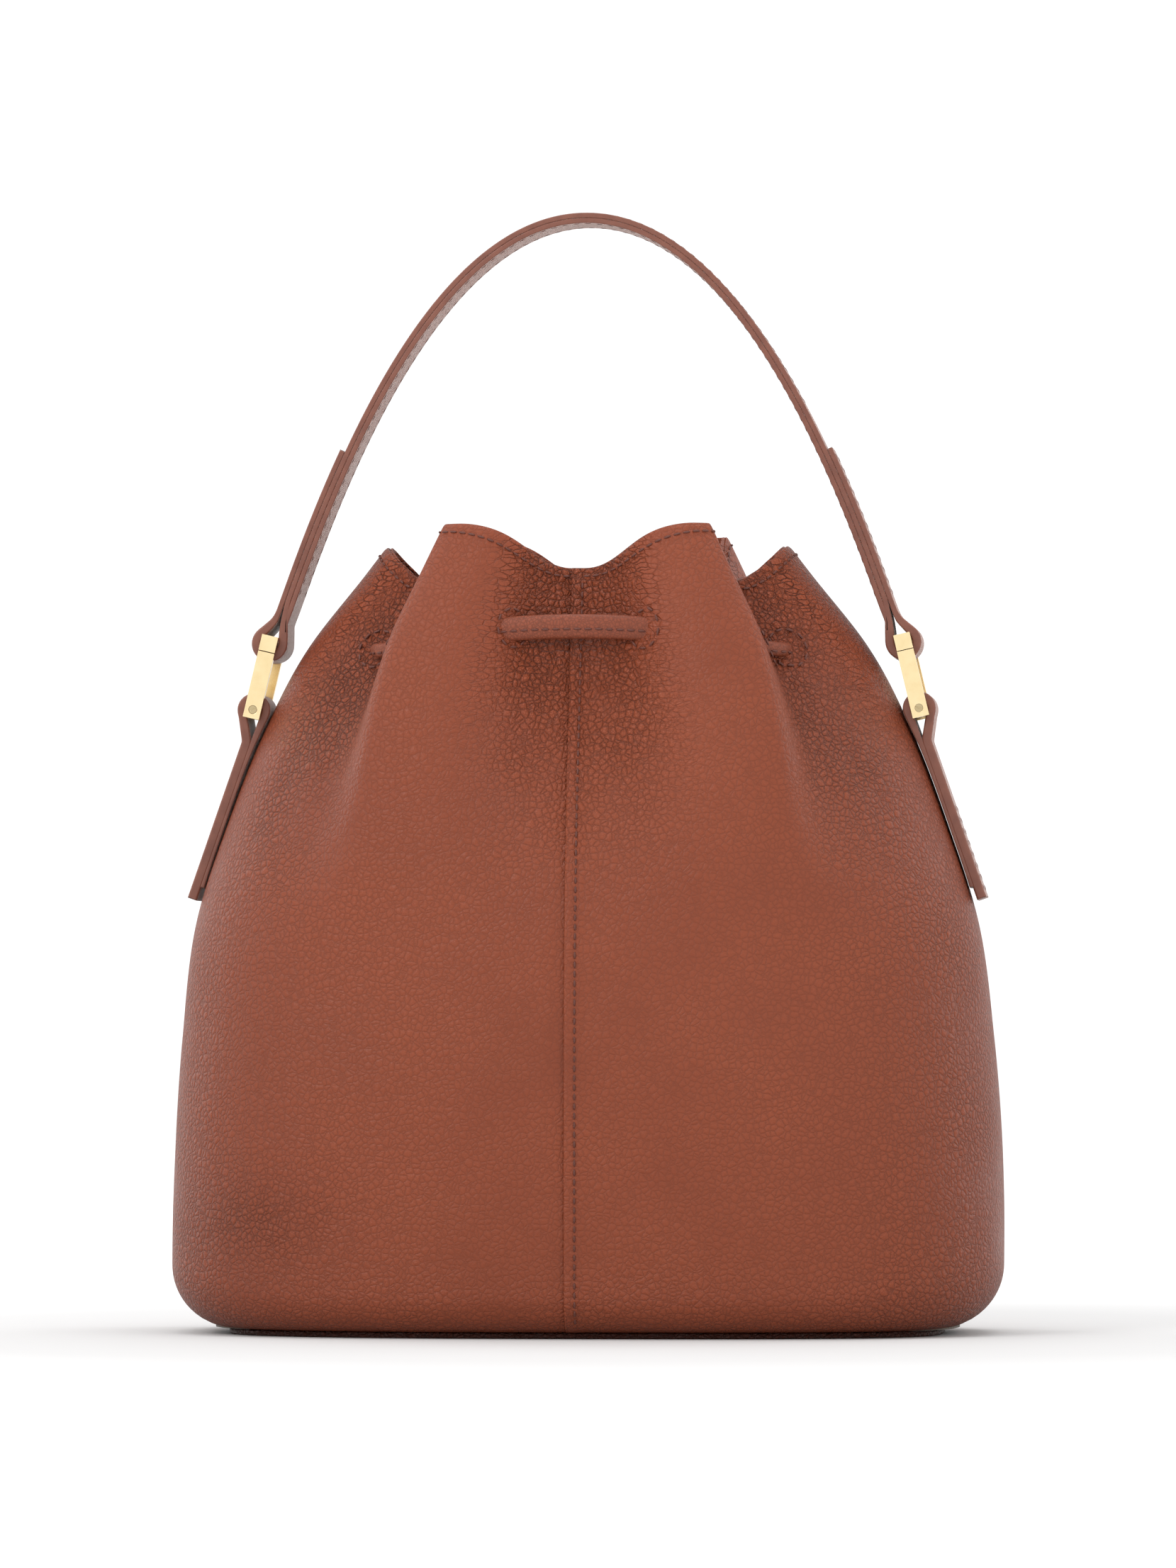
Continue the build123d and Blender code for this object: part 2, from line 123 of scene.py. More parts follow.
# ---- Wall formulas ----
def outline_value(z, column):
    """The outline's value at each height, on a smooth curve through its rows."""
    heights, values = OUTLINE[:, 0], OUTLINE[:, column]
    slopes = np.gradient(values, heights)
    z = np.clip(z, heights[0], heights[-1])
    i = np.clip(np.searchsorted(heights, z, side="right") - 1, 0, len(heights) - 2)
    span = heights[i + 1] - heights[i]
    u = (z - heights[i]) / span
    return ((2 * u - 3) * u * u * (values[i] - values[i + 1]) + values[i]
            + span * (slopes[i] * (u - 1) ** 2 * u + slopes[i + 1] * (u - 1) * u * u))


def smooth(u):
    u = np.clip(u, 0, 1)
    return u * u * (3 - 2 * u)


def run_along(points):
    """The length along a path up to each of its points."""
    return np.r_[0, np.cumsum(np.linalg.norm(np.diff(points, axis=0), axis=1))]


def turning_place(low, high, before):
    """The place between low and high up to which before(place) holds."""
    for _ in range(40):
        middle = (low + high) / 2
        if before(middle):
            low = middle
        else:
            high = middle
    return middle


def gather(z):
    return smooth((z - GATHER_LOW) / (GATHER_HIGH - GATHER_LOW))


def quarter_angle(angle):
    quarter = np.abs(np.degrees(np.arctan2(np.sin(angle), np.cos(angle))))
    return np.minimum(quarter, 180.0 - quarter)


def fold(angle, z):
    """The folds' wave, 1 on a crest and -1 in a valley, and the same wave made lower at the sides."""
    quarter = quarter_angle(angle)
    valley = VALLEY[0] + (VALLEY[1] - VALLEY[0]) * gather(z)
    crest = CREST[0] + (CREST[1] - CREST[0]) * gather(z)
    wave = np.where(quarter < valley, np.cos(pi * quarter / valley),
                    np.where(quarter < crest, -np.cos(pi * (quarter - valley) / (crest - valley)),
                             np.cos(pi * (quarter - crest) / (90.0 - crest))))
    return wave, wave * (SIDE_FOLD + (1 - SIDE_FOLD) * np.sin(angle) ** 2)


def rim_height(angle):
    quarter = quarter_angle(angle)
    valley = VALLEY[1]

    def swing(u):
        return (1 - np.cos(pi * np.clip(u, 0, 1))) / 2
    side = SIDE_RIM + (SIDE_VALLEY_RIM - SIDE_RIM) * swing(quarter / valley)
    crest = CREST[1]
    up = swing((quarter - valley) / (crest - 3 - valley))
    climb = SIDE_VALLEY_RIM + (CREST_RIM - SIDE_VALLEY_RIM) * up
    dip = CREST_RIM + (MIDDLE_VALLEY_RIM - CREST_RIM) * swing((quarter - crest - 2) / (85.0 - crest))
    return np.where(quarter < valley, side, np.where(quarter < crest, climb, dip))


def creases(angle, z):
    """Small soft wrinkles of the gathered leather, strongest beside the valleys."""
    wave, _ = fold(angle, z)
    low = gather(z) * np.clip(0.35 - wave, 0, 1)
    slow = np.sin(angle * 23 + z * 0.045) * np.sin(z * 0.11 + angle * 5)
    fine = np.sin(z * 0.55 + 7 * np.sin(angle * 9)) * np.sin(angle * 41 + z * 0.02)
    belly = np.sin(angle * 3 + 0.6) * np.sin(z * 0.028 + angle * 2) * (1 - gather(z))
    return 0.42 * slow * low + 0.16 * fine * low + 0.5 * belly * np.clip(z / 60, 0, 1)


def wall_points(angle, z, inset):
    """Points of the wall in millimetres; inset is measured inwards from the outer face."""
    angle, z, inset = np.broadcast_arrays(angle, z, inset)
    depth = FOLD_DEPTH * gather(z)
    wide = outline_value(z, 1) - SIDE_FOLD * depth
    deep = outline_value(z, 2)
    power = outline_value(z, 3)
    corner = CORNER_R + SIDE_CORNER * np.cos(angle) ** 4
    below = np.maximum(0.0, corner - (z - FLOOR_GAP))
    turned = corner - np.sqrt(np.maximum(0.0, corner**2 - below**2))
    crest = CREST[0] + (CREST[1] - CREST[0]) * gather(z)
    lean = LEAN * gather(z) * np.exp(-((quarter_angle(angle) - crest) / LEAN_SPREAD) ** 2)
    leaned = angle - np.radians(lean) * np.sign(np.sin(2 * angle))
    c, s = np.cos(leaned), np.sin(leaned)
    x = wide * np.abs(c) ** (2 / power) * np.sign(c)
    y = deep * np.abs(s) ** (2 / power) * np.sign(s)
    nx = np.abs(x / wide) ** (power - 1) / wide * np.sign(c)
    ny = np.abs(y / deep) ** (power - 1) / deep * np.sign(s)
    size = np.hypot(nx, ny)
    _, height = fold(angle, z)
    out = depth * height - inset - turned + creases(angle, z)
    return np.stack([x + nx / size * out, y + ny / size * out, z], -1)


def wall_normal(angle, z):
    step = 0.004
    along = wall_points(angle + step, z, 0) - wall_points(angle - step, z, 0)
    up = wall_points(angle, z + 0.5, 0) - wall_points(angle, z - 0.5, 0)
    n = np.cross(along, up)
    return n / np.linalg.norm(n, axis=-1, keepdims=True)


def even_angles(start, stop, count, z=180.0):
    """Angles that cut the wall's outline at a height into even lengths."""
    fine = np.linspace(start, stop, 4000)
    line = wall_points(fine, z, 0)
    run = run_along(line)
    return np.interp(np.linspace(0, run[-1], count), run, fine)


def angle_at(x, z, side):
    """The angle of the wall's back (side -1) or front (side 1) where it is x from the middle."""
    def before(angle):
        return wall_points(side * angle, z, 0)[0] > x
    return side * turning_place(radians(60), radians(120), before)


# ---- Mesh helpers ----
def linked(name, data):
    """A new object, in the scene."""
    made = bpy.data.objects.new(name, data)
    bpy.context.scene.collection.objects.link(made)
    return made


def shade_smooth(mesh):
    mesh.polygons.foreach_set("use_smooth", [True] * len(mesh.polygons))


def new_mesh(name, points, faces):
    mesh = bpy.data.meshes.new(name)
    mesh.from_pydata([tuple(p) for p in points], [], faces)
    mesh.validate()
    shade_smooth(mesh)
    return linked(name, mesh)


def tube_faces(count, ring):
    """Faces of a closed tube of so many rings, each of so many points, with a cap at both ends."""
    faces = []
    for i in range(count - 1):
        for k in range(ring):
            m = (k + 1) % ring
            faces.append((i * ring + k, i * ring + m, (i + 1) * ring + m, (i + 1) * ring + k))
    faces.append(tuple(range(ring)))
    faces.append(tuple(reversed(range((count - 1) * ring, count * ring))))
    return faces


def nearest_of(places, points):
    """The index of the place nearest to each point."""
    tree = KDTree(len(places))
    for i, place in enumerate(places):
        tree.insert(place, i)
    tree.balance()
    return np.array([tree.find(p)[1] for p in points])


def merged(obj, distance=1e-5):
    """Joins points that lie on each other and turns all faces outwards."""
    bm = bmesh.new()
    bm.from_mesh(obj.data)
    bmesh.ops.remove_doubles(bm, verts=bm.verts, dist=distance)
    bmesh.ops.recalc_face_normals(bm, faces=bm.faces)
    bm.to_mesh(obj.data)
    bm.free()
    return obj


def leather_sheet(name, place, us, vs, half_u, half_v, thick, closed=False):
    """A sheet of leather with round edges: place(u, v, inset) gives its points in millimetres."""
    u, v = np.meshgrid(us, vs, indexing="ij")
    half = thick / 2 * np.outer(half_u, half_v)
    sides = [place(u, v, thick / 2 - half), place(u, v, thick / 2 + half)]
    rows = len(vs)
    count = len(us)
    faces = []
    for i in range(count if closed else count - 1):
        j = (i + 1) % count
        for k in range(rows - 1):
            a, b, c, d = i * rows + k, j * rows + k, j * rows + k + 1, i * rows + k + 1
            faces.append((a, b, c, d))
            shift = count * rows
            faces.append((d + shift, c + shift, b + shift, a + shift))
    points = np.concatenate([s.reshape(-1, 3) for s in sides]) * MM
    return merged(new_mesh(name, points, faces))


# Where a rounded edge has points, as shares of its width
ROUND = np.array([0.0, 0.08, 0.25, 0.5, 0.75])


def round_edge(steps, from_start, to_end):
    """Positions 0 to 1 with more of them at a rounded edge, and the sheet's thickness there."""
    inner = np.linspace(0, 1, steps)
    thick = np.ones(steps)
    low, high = inner[1] * ROUND, 1 - inner[1] * ROUND[::-1]
    curve = np.sqrt(1 - (1 - ROUND) ** 2)
    if from_start:
        inner, thick = np.r_[low, inner[1:]], np.r_[curve, thick[1:]]
    if to_end:
        inner, thick = np.r_[inner[:-1], high], np.r_[thick[:-1], curve[::-1]]
    return inner, thick


def modify(obj, kind, **values):
    """Adds a modifier and applies it."""
    modifier = obj.modifiers.new(kind.lower(), kind)
    for key, value in values.items():
        setattr(modifier, key, value)
    evaluated = obj.evaluated_get(bpy.context.evaluated_depsgraph_get())
    mesh = bpy.data.meshes.new_from_object(evaluated)
    obj.modifiers.clear()
    obj.data = mesh
    return obj


def detailed_copy(node, edge, angle=35.0):
    """A CAD piece with its flat faces joined and its sharp edges rounded."""
    made = NODES[node].copy()
    made.data = NODES[node].data.copy()
    made.parent = None
    made.name = node + "_detail"
    for key in list(made.keys()):
        del made[key]
    made.data.materials.clear()
    bpy.context.scene.collection.objects.link(made)
    bm = bmesh.new()
    bm.from_mesh(made.data)
    bmesh.ops.remove_doubles(bm, verts=bm.verts, dist=2e-6)
    bmesh.ops.dissolve_limit(bm, angle_limit=radians(2.0), verts=bm.verts, edges=bm.edges)
    bm.to_mesh(made.data)
    bm.free()
    shade_smooth(made.data)
    modify(made, "BEVEL", width=edge * MM, segments=3, limit_method="ANGLE", angle_limit=radians(angle),
           use_clamp_overlap=True)
    modify(made, "WEIGHTED_NORMAL", weight=100)
    return made


def frames_along(points, up):
    """Tangent, side and up of each point of a path."""
    tangent = np.gradient(points, axis=0)
    tangent /= np.linalg.norm(tangent, axis=1, keepdims=True)
    side = np.cross(tangent, up)
    side /= np.linalg.norm(side, axis=1, keepdims=True)
    return tangent, side, np.cross(side, tangent)


def flat_tube(name, points, wide, thick, up, ring=20, square=2.6):
    """A closed tube with a flattened round section; wide runs along up."""
    _, side, rise = frames_along(points, up)
    turn = np.linspace(0, 2 * pi, ring, endpoint=False)
    c = np.abs(np.cos(turn)) ** (2 / square) * np.sign(np.cos(turn))
    s = np.abs(np.sin(turn)) ** (2 / square) * np.sign(np.sin(turn))
    wide, thick = np.broadcast_to(wide, len(points)), np.broadcast_to(thick, len(points))
    verts = (points[:, None] + side[:, None] * (c[None, :, None] * thick[:, None, None] / 2)
             + rise[:, None] * (s[None, :, None] * wide[:, None, None] / 2)).reshape(-1, 3)
    return merged(new_mesh(name, verts * MM, tube_faces(len(points), ring)))


def strap_sweep(name, path, thick, half=STRAP_HALF, soft=0.45):
    """A flat strap, seen edge-on along a path in x and z, with rounded edges along both sides."""
    tangent = np.gradient(path, axis=0)
    tangent /= np.linalg.norm(tangent, axis=1, keepdims=True)
    normal = np.stack([tangent[:, 1], -tangent[:, 0]], 1)
    arc = np.linspace(0, pi / 2, 4)
    section = []
    for sx, sy, turn in ((1, 1, 0), (-1, 1, 1), (-1, -1, 0), (1, -1, 1)):
        for a in (arc if turn == 0 else arc[::-1]):
            section.append((sx * (1 - soft + soft * cos(a)), sy, sin(a)))
    ring = len(section)
    verts = []
    for point, n, t in zip(path, normal, thick):
        edge = soft * t / 2
        for out, sy, s in section:
            y = sy * (half - edge + edge * s)
            verts.append((point[0] + n[0] * t / 2 * out, y, point[1] + n[1] * t / 2 * out))
    made = merged(new_mesh(name, np.array(verts) * MM, tube_faces(len(path), ring)))
    modify(made, "WEIGHTED_NORMAL", keep_sharp=True)
    return made


def stitches(name, places, directions, normals, long):
    """Short thread stitches, one for each place, pressed a little into the leather."""
    bm = bmesh.new()
    for place, along, normal in zip(places, directions, normals):
        along, normal = Vector(along).normalized(), Vector(normal).normalized()
        across = normal.cross(along).normalized()
        turn = Matrix((along, across, along.cross(across))).transposed().to_4x4()
        centre = Vector(place) * MM + normal * (THREAD_RADIUS * 0.35) * MM
        size = Matrix.Diagonal((long / 2 * MM, THREAD_RADIUS * MM, THREAD_RADIUS * 0.9 * MM, 1))
        bmesh.ops.create_uvsphere(bm, u_segments=8, v_segments=6, radius=1.0,
                                  matrix=Matrix.Translation(centre) @ turn @ size)
    mesh = bpy.data.meshes.new(name)
    bm.to_mesh(mesh)
    bm.free()
    shade_smooth(mesh)
    made = linked(name, mesh)
    made.data.materials.append(THREAD)
    return made


# ---- Materials ----
def material(name):
    made = bpy.data.materials.new(name)
    made.use_nodes = True
    nodes = made.node_tree.nodes
    shader = nodes["Principled BSDF"]
    return made, nodes, made.node_tree.links, shader


def add(nodes, kind, **values):
    node = nodes.new(kind)
    for key, value in values.items():
        if hasattr(node, key):
            setattr(node, key, value)
        else:
            node.inputs[key.replace("_", " ")].default_value = value
    return node


def ramp(nodes, stops):
    node = nodes.new("ShaderNodeValToRGB")
    elements = node.color_ramp.elements
    while len(elements) < len(stops):
        elements.new(0.5)
    for element, (at, colour) in zip(elements, stops):
        element.position = at
        element.color = colour if len(colour) == 4 else (*colour, 1)
    return node


def grey(v):
    return (v, v, v, 1)


def mix_colour(nodes, links, kind, factor, a, b):
    node = nodes.new("ShaderNodeMix")
    node.data_type = "RGBA"
    node.blend_type = kind
    for socket, value in ((node.inputs[0], factor), (node.inputs[6], a), (node.inputs[7], b)):
        if hasattr(value, "is_output"):
            links.new(value, socket)
        else:
            socket.default_value = value
    return node.outputs[2]


def math_node(nodes, links, kind, a, b=0.0, c=0.0):
    node = nodes.new("ShaderNodeMath")
    node.operation = kind
    for socket, value in zip(node.inputs, (a, b, c)):
        if hasattr(value, "is_output"):
            links.new(value, socket)
        else:
            socket.default_value = value
    return node.outputs[0]


def pebbled(name, base, dark, light, grain=490.0, depth=0.28, creased=False, sheen=0.0):
    """Pebbled leather: cells with fine lines between them, pores, painted shade in the lines and painted
    highlights on the cell tops, and soft colour drift.
    """
    made, nodes, links, shader = material(name)
    where = nodes.new("ShaderNodeTexCoord").outputs["Object"]
    drift = add(nodes, "ShaderNodeTexNoise", Scale=170.0, Detail=3.0)
    links.new(where, drift.inputs["Vector"])
    bend = add(nodes, "ShaderNodeVectorMath", operation="MULTIPLY_ADD")
    links.new(drift.outputs["Color"], bend.inputs[0])
    bend.inputs[1].default_value = (0.0022, 0.0022, 0.0022)
    links.new(where, bend.inputs[2])
    bent = bend.outputs[0]
    cells = add(nodes, "ShaderNodeTexVoronoi", feature="DISTANCE_TO_EDGE", Scale=grain, Randomness=0.95)
    links.new(bent, cells.inputs["Vector"])
    plump = ramp(nodes, [(0.0, grey(0.0)), (0.14, grey(0.55)), (0.42, grey(1.0))])
    links.new(cells.outputs["Distance"], plump.inputs[0])
    fine = add(nodes, "ShaderNodeTexVoronoi", feature="DISTANCE_TO_EDGE", Scale=grain * 2.1, Randomness=1.0)
    links.new(bent, fine.inputs["Vector"])
    fine_ramp = ramp(nodes, [(0.0, grey(0.0)), (0.12, grey(1.0))])
    links.new(fine.outputs["Distance"], fine_ramp.inputs[0])
    pores = add(nodes, "ShaderNodeTexNoise", Scale=2600.0, Detail=2.0)
    links.new(where, pores.inputs["Vector"])
    relief = math_node(nodes, links, "MULTIPLY_ADD", fine_ramp.outputs[0], 0.22, plump.outputs[0])
    relief = math_node(nodes, links, "MULTIPLY_ADD", pores.outputs[0], 0.12, relief)
    patches = add(nodes, "ShaderNodeTexNoise", Scale=26.0, Detail=4.0)
    links.new(where, patches.inputs["Vector"])
    amount = ramp(nodes, [(0.3, grey(0.6)), (0.68, grey(1.0))])
    links.new(patches.outputs[0], amount.inputs[0])
    strength = amount.outputs[0]
    if creased:
        mask = add(nodes, "ShaderNodeAttribute", attribute_name="crease")
        strength = math_node(nodes, links, "MULTIPLY_ADD", mask.outputs["Fac"], 1.0, 0.24)
        strength = math_node(nodes, links, "MULTIPLY", strength, amount.outputs[0])
        stretched = add(nodes, "ShaderNodeMapping")
        stretched.inputs["Scale"].default_value = (0.5, 0.5, 1.2)
        links.new(bent, stretched.inputs[0])
        lines = add(nodes, "ShaderNodeTexVoronoi", feature="DISTANCE_TO_EDGE", Scale=grain, Randomness=1.0)
        links.new(stretched.outputs[0], lines.inputs["Vector"])
        line_ramp = ramp(nodes, [(0.0, grey(0.0)), (0.1, grey(1.0))])
        links.new(lines.outputs["Distance"], line_ramp.inputs[0])
        pull = add(nodes, "ShaderNodeAttribute", attribute_name="pull")
        relief = mix_colour(nodes, links, "MIX", pull.outputs["Fac"], relief, line_ramp.outputs[0])
    bump = add(nodes, "ShaderNodeBump", Distance=depth * MM * 3)
    links.new(relief, bump.inputs["Height"])
    links.new(strength, bump.inputs["Strength"])
    soft = add(nodes, "ShaderNodeTexNoise", Scale=62.0, Detail=3.0)
    links.new(where, soft.inputs["Vector"])
    wide = add(nodes, "ShaderNodeBump", Distance=0.0011, Strength=0.35)
    links.new(soft.outputs[0], wide.inputs["Height"])
    links.new(bump.outputs[0], wide.inputs["Normal"])
    links.new(wide.outputs[0], shader.inputs["Normal"])
    tone = ramp(nodes, [(0.28, dark), (0.5, base), (0.78, light)])
    links.new(patches.outputs[0], tone.inputs[0])
    # Painted shade and highlight: the colour is darkened in the grain's lines and lightened on the cell
    # tops, as strongly as the grain itself is.
    grain_shade_and_highlight = ramp(nodes, [(0.0, grey(0.3)), (0.4, grey(0.76)), (0.8, grey(1.0)), (1.0, grey(1.15))])
    links.new(relief, grain_shade_and_highlight.inputs[0])
    weight = math_node(nodes, links, "MULTIPLY", strength, 0.9)
    colour = mix_colour(nodes, links, "MULTIPLY", weight, tone.outputs[0], grain_shade_and_highlight.outputs[0])
    links.new(colour, shader.inputs["Base Color"])
    gloss = ramp(nodes, [(0.25, grey(0.38)), (0.8, grey(0.5))])
    links.new(patches.outputs[0], gloss.inputs[0])
    links.new(gloss.outputs[0], shader.inputs["Roughness"])
    shader.inputs["Specular IOR Level"].default_value = 0.27
    shader.inputs["Sheen Weight"].default_value = sheen
    shader.inputs["Sheen Roughness"].default_value = 0.42
    shader.inputs["Sheen Tint"].default_value = (1.0, 0.86, 0.8, 1)
    return made


def strap_leather(name, face_dark, face, face_light, edge, groove):
    """Grained leather on the strap's broad faces and smooth painted edges on its narrow sides."""
    made = pebbled(name, face, face_dark, face_light, grain=640.0, depth=0.09, sheen=0.5)
    nodes, links = made.node_tree.nodes, made.node_tree.links
    shader = nodes["Principled BSDF"]
    painted = nodes.new("ShaderNodeBsdfPrincipled")
    where = nodes.new("ShaderNodeTexCoord")
    cloud = add(nodes, "ShaderNodeTexNoise", Scale=240.0, Detail=5.0)
    links.new(where.outputs["Object"], cloud.inputs["Vector"])
    tone = ramp(nodes, [(0.3, groove), (0.62, edge)])
    links.new(cloud.outputs[0], tone.inputs[0])
    links.new(tone.outputs[0], painted.inputs["Base Color"])
    bump = add(nodes, "ShaderNodeBump", Distance=0.0002, Strength=0.35)
    links.new(cloud.outputs[0], bump.inputs["Height"])
    links.new(bump.outputs[0], painted.inputs["Normal"])
    painted.inputs["Roughness"].default_value = 0.46
    painted.inputs["Sheen Weight"].default_value = 0.15
    parts = nodes.new("ShaderNodeSeparateXYZ")
    links.new(where.outputs["Normal"], parts.inputs[0])
    facing = math_node(nodes, links, "ABSOLUTE", parts.outputs[1])
    share = ramp(nodes, [(0.55, grey(0.0)), (0.75, grey(1.0))])
    links.new(facing, share.inputs[0])
    both = nodes.new("ShaderNodeMixShader")
    links.new(share.outputs[0], both.inputs[0])
    links.new(shader.outputs[0], both.inputs[1])
    links.new(painted.outputs[0], both.inputs[2])
    links.new(both.outputs[0], nodes["Material Output"].inputs["Surface"])
    return made


def thread(name, colour):
    made, nodes, links, shader = material(name)
    where = nodes.new("ShaderNodeTexCoord").outputs["Object"]
    twist = add(nodes, "ShaderNodeTexWave", Scale=900.0, Distortion=2.0, bands_direction="DIAGONAL")
    links.new(where, twist.inputs["Vector"])
    bump = add(nodes, "ShaderNodeBump", Distance=0.0001, Strength=0.5)
    links.new(twist.outputs[1], bump.inputs["Height"])
    links.new(bump.outputs[0], shader.inputs["Normal"])
    dark = (*(0.72 * c for c in colour[:3]), 1)
    shade = mix_colour(nodes, links, "MIX", twist.outputs[1], dark, colour)
    links.new(shade, shader.inputs["Base Color"])
    shader.inputs["Roughness"].default_value = 0.6
    return made


def gold(name, shade=1.0):
    """Pale gold plate with faint polishing lines and finger haze."""
    made, nodes, links, shader = material(name)
    where = nodes.new("ShaderNodeTexCoord").outputs["Object"]
    lines = add(nodes, "ShaderNodeMapping")
    lines.inputs["Scale"].default_value = (900.0, 900.0, 60.0)
    links.new(where, lines.inputs[0])
    scratch = add(nodes, "ShaderNodeTexNoise", Scale=1.0, Detail=3.0)
    links.new(lines.outputs[0], scratch.inputs["Vector"])
    haze = add(nodes, "ShaderNodeTexNoise", Scale=260.0, Detail=3.0)
    links.new(where, haze.inputs["Vector"])
    both = math_node(nodes, links, "MULTIPLY_ADD", scratch.outputs[0], 0.5, haze.outputs[0])
    rough = ramp(nodes, [(0.5, grey(0.2)), (1.0, grey(0.26))])
    links.new(both, rough.inputs[0])
    links.new(rough.outputs[0], shader.inputs["Roughness"])
    tone = ramp(nodes, [(0.3, (0.86 * shade, 0.68 * shade, 0.38 * shade)),
                        (0.7, (0.9 * shade, 0.73 * shade, 0.43 * shade))])
    links.new(haze.outputs[0], tone.inputs[0])
    links.new(tone.outputs[0], shader.inputs["Base Color"])
    bump = add(nodes, "ShaderNodeBump", Distance=0.000004, Strength=0.1)
    links.new(scratch.outputs[0], bump.inputs["Height"])
    links.new(bump.outputs[0], shader.inputs["Normal"])
    shader.inputs["Metallic"].default_value = 1.0
    return made


def cloth(name, colour, dark):
    """Plain woven lining cloth."""
    made, nodes, links, shader = material(name)
    where = nodes.new("ShaderNodeTexCoord").outputs["Object"]
    warp = add(nodes, "ShaderNodeTexWave", Scale=420.0, bands_direction="X", Distortion=0.6)
    weft = add(nodes, "ShaderNodeTexWave", Scale=420.0, bands_direction="Z", Distortion=0.6)
    links.new(where, warp.inputs["Vector"])
    links.new(where, weft.inputs["Vector"])
    weave = math_node(nodes, links, "MULTIPLY", warp.outputs[1], weft.outputs[1])
    shade = mix_colour(nodes, links, "MIX", weave, dark, colour)
    links.new(shade, shader.inputs["Base Color"])
    bump = add(nodes, "ShaderNodeBump", Distance=0.0002, Strength=0.6)
    links.new(weave, bump.inputs["Height"])
    links.new(bump.outputs[0], shader.inputs["Normal"])
    shader.inputs["Roughness"].default_value = 0.85
    shader.inputs["Sheen Weight"].default_value = 0.3
    return made


BODY = pebbled("body_leather", (0.206, 0.0425, 0.0150, 1), (0.186, 0.0375, 0.0130, 1),
               (0.226, 0.048, 0.0175, 1), creased=True)
# The base leather is coloured about four times darker than the walls; part of that is painted shade where
# the base meets the floor.
BASE_WITH_PAINTED_SHADE = pebbled("base_leather", (0.052, 0.013, 0.0075, 1), (0.040, 0.010, 0.006, 1),
               (0.062, 0.016, 0.0095, 1))
CORD = pebbled("cord_leather", (0.20, 0.048, 0.022, 1), (0.17, 0.040, 0.018, 1), (0.22, 0.056, 0.027, 1),
               grain=900.0, depth=0.03)
STRAP_LEATHER = strap_leather("strap_leather", (0.17, 0.05, 0.028, 1), (0.21, 0.062, 0.035, 1),
                              (0.25, 0.08, 0.048, 1), (0.178, 0.056, 0.032, 1), (0.14, 0.04, 0.022, 1))
THREAD = thread("thread", (0.115, 0.026, 0.013, 1))
GOLD = gold("clip_metal")
SCREW_GOLD = gold("screw_metal", 0.6)
CLOTH = cloth("lining", (0.5, 0.38, 0.28, 1), (0.3, 0.22, 0.16, 1))
BOARD = cloth("board", (0.2, 0.16, 0.12, 1), (0.14, 0.11, 0.08, 1))


def finish_piece(obj, mat, body, slot, *nodes):
    """Gives a piece its material and body, and hides the CAD nodes that it stands for; slot is not used."""
    obj.data.materials.clear()
    obj.data.materials.append(mat)
    if body:
        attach(obj, body)
    if nodes:
        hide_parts(*nodes)
    return obj


# ---- Body panels ----
def seam_angle(x, z, side):
    """Angles at the middle seam for an array of heights."""
    return np.array([angle_at(x, height, side) for height in z])


def panel(name, right):
    """Half of the wall, with its folded or hidden edge at the middle seams, front and back."""
    columns, half_u = round_edge(200, True, True)
    rows, half_v = round_edge(175, True, True)
    edge_x = SEAM_X if right else SEAM_X + 4.5
    keys = np.linspace(FLOOR_GAP, 270, 24)
    back, front = seam_angle(edge_x, keys, -1), seam_angle(edge_x, keys, 1)
    first, last = (back, front) if right else (front, back + 2 * pi)
    even = even_angles(-pi / 2, pi / 2, 1000) if right else even_angles(pi / 2, 3 * pi / 2, 1000)
    even = (even - even[0]) / (even[-1] - even[0])
    spread = np.interp(columns, np.linspace(0, 1, 1000), even)

    def place(u, v, inset):
        start, stop = np.interp(150 + 0 * u, keys, first), np.interp(150 + 0 * u, keys, last)
        rim = rim_height(start + (stop - start) * np.interp(u, columns, spread))
        z = FLOOR_GAP + (rim - FLOOR_GAP) * v
        start, stop = np.interp(z, keys, first), np.interp(z, keys, last)
        angle = start + (stop - start) * np.interp(u, columns, spread)
        points = wall_points(angle, z, 0)
        near = points[..., 0] - SEAM_X
        if right:
            lift = SEAM_RISE * (1 - smooth(near / 7.0))
        else:
            lift = -0.55 * smooth((near + 5.0) / 5.0)
        return wall_points(angle, z, inset - lift)

    return leather_sheet(name, place, columns, rows, half_u, half_v, LEATHER)


def mark_creases(obj):
    """Where the grain, with its painted shade and highlight, is strong, and where it is pulled sideways,
    for the material.
    """
    count = len(obj.data.vertices)
    points = np.empty(count * 3)
    obj.data.vertices.foreach_get("co", points)
    points = points.reshape(-1, 3) / MM
    nearest = nearest_of(LOOKUP_POINTS, points)
    angle, z = LOOKUP_ANGLE[nearest], LOOKUP_Z[nearest]
    wave, _ = fold(angle, z)
    folded = gather(z)
    side = np.abs(np.cos(angle)) ** 3
    corner_patch = np.where(points[:, 1] < 0, 0.55 * np.exp(-((points[:, 0] + 104) / 24) ** 2
                                                            - ((z - 38) / 15) ** 2), 0)
    crease = np.clip(0.15 + folded * np.clip(0.55 - wave, 0, 1.2) * 0.9 + side * 0.55
                     + 0.25 * smooth((30 - z) / 30) + corner_patch, 0, 1)
    pull = np.clip(folded * np.exp(-((wave - 0.15) / 0.45) ** 2) * 0.75, 0, 1)
    for name, values in (("crease", crease), ("pull", pull)):
        layer = obj.data.attributes.new(name, "FLOAT", "POINT")
        layer.data.foreach_set("value", values.astype(np.float32))


lookup_angle, lookup_z = np.meshgrid(np.linspace(-pi, pi, 360, endpoint=False), np.linspace(2, 270, 90))
LOOKUP_ANGLE, LOOKUP_Z = lookup_angle.ravel(), lookup_z.ravel()
LOOKUP_POINTS = wall_points(LOOKUP_ANGLE, LOOKUP_Z, 0)


